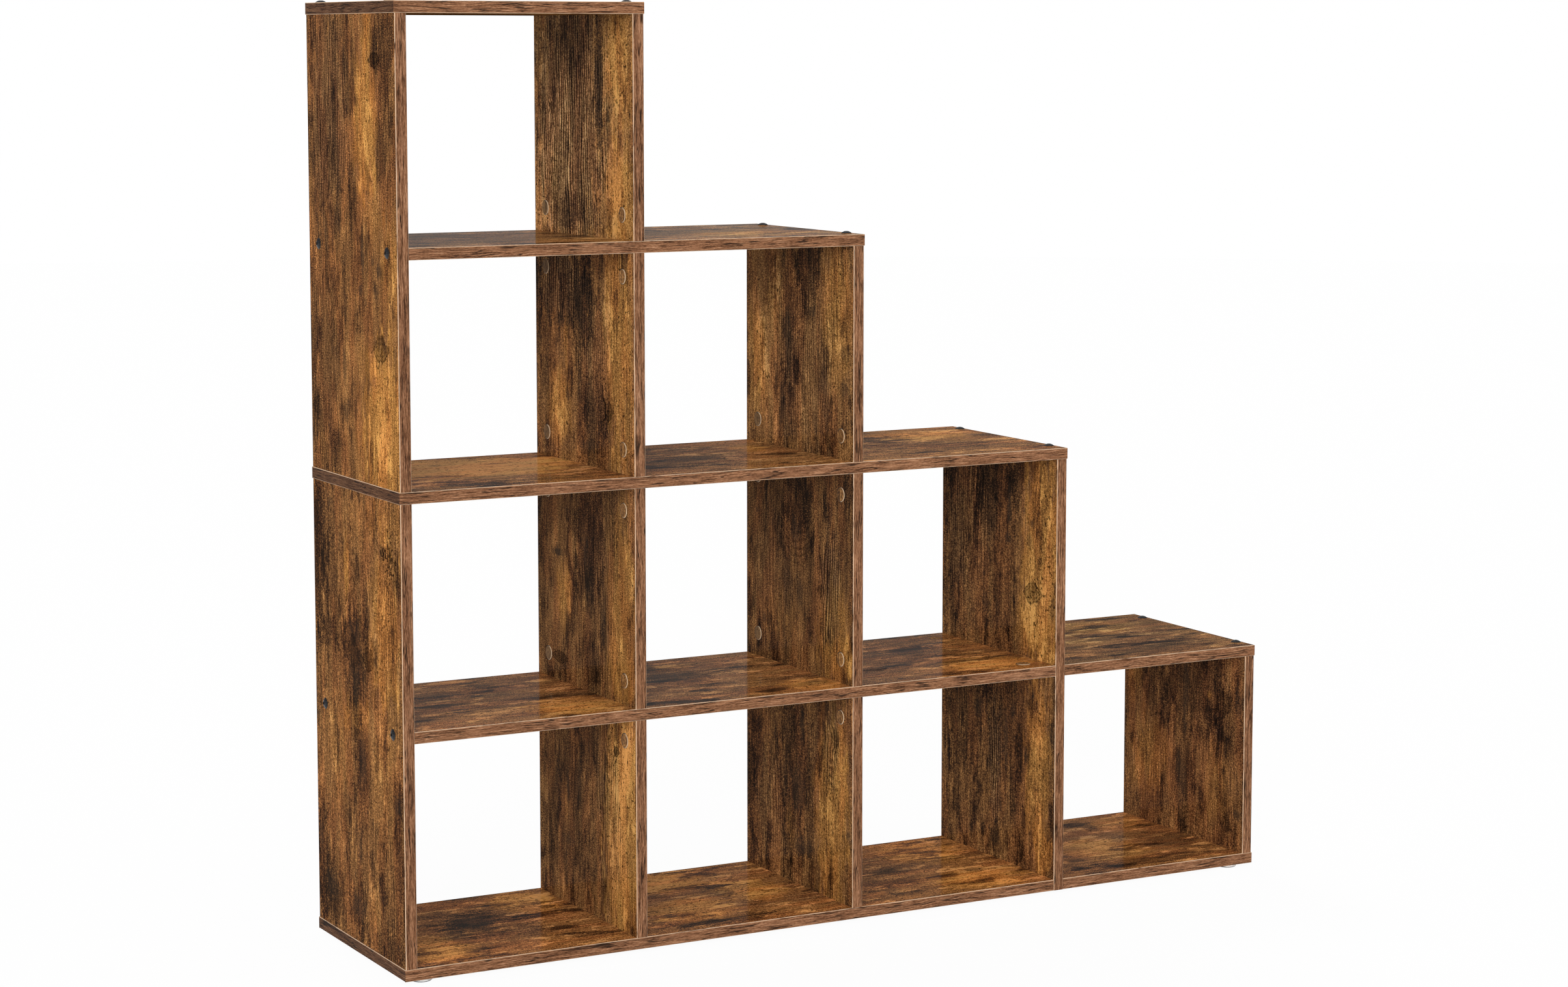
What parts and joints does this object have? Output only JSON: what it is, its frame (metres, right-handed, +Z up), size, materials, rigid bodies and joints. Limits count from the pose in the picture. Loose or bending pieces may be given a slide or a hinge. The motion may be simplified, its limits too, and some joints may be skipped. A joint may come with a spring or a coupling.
{
  "type": "cube bookcase",
  "caption": "Stepped open cube bookcase of wood-print boards with edging, domed connector bolts, cam fittings and round feet.",
  "frame": {"origin": "on the floor, under the middle of the bookcase's box", "axes": "+X along the front, towards the low end; +Y from the front to the open back; +Z up"},
  "size_m": [1.2786, 0.295, 1.2026],
  "materials": {
    "wood_laminate": "semi-gloss printed rustic brown wood laminate on particle board",
    "edging": "semi-gloss printed reddish brown edging tape",
    "dark_steel": "dark plated, glossy",
    "zinc": "bright zinc plated",
    "beech": "bare beech",
    "wood_print_disc": "adhesive wood-print film with a pale cut edge",
    "white_plastic": "satin white"
  },
  "bodies": {
    "root": {"top_panel": "wood_laminate", "upper_shelf": "wood_laminate", "middle_shelf": "wood_laminate", "lower_shelf": "wood_laminate", "bottom_panel": "wood_laminate", "end_cube_top": "wood_laminate", "end_cube_bottom": "wood_laminate", "left_side_upper": "wood_laminate", "left_side_lower": "wood_laminate", "tall_divider": "wood_laminate", "right_side": "wood_laminate", "first_divider_row_1": "wood_laminate", "first_divider_row_2": "wood_laminate", "first_divider_row_3": "wood_laminate", "first_divider_row_4": "wood_laminate", "second_divider_row_2": "wood_laminate", "second_divider_row_3": "wood_laminate", "second_divider_row_4": "wood_laminate", "top_panel_edging": "edging", "upper_shelf_edging": "edging", "middle_shelf_edging": "edging", "lower_shelf_edging": "edging", "bottom_panel_edging": "edging", "end_cube_top_edging": "edging", "end_cube_bottom_edging": "edging", "left_side_upper_edging": "edging", "left_side_lower_edging": "edging", "tall_divider_edging": "edging", "right_side_edging": "edging", "first_divider_row_1_edging": "edging", "first_divider_row_2_edging": "edging", "first_divider_row_3_edging": "edging", "first_divider_row_4_edging": "edging", "second_divider_row_2_edging": "edging", "second_divider_row_3_edging": "edging", "second_divider_row_4_edging": "edging", "top_bolts": "dark_steel", "side_bolts": "dark_steel", "bottom_bolts": "dark_steel", "cam_locks": "zinc", "cam_bolts": "zinc", "wood_dowels": "beech", "cam_covers": "wood_print_disc", "feet": "white_plastic", "foot_nails": "zinc"}
  },
  "joints": []
}
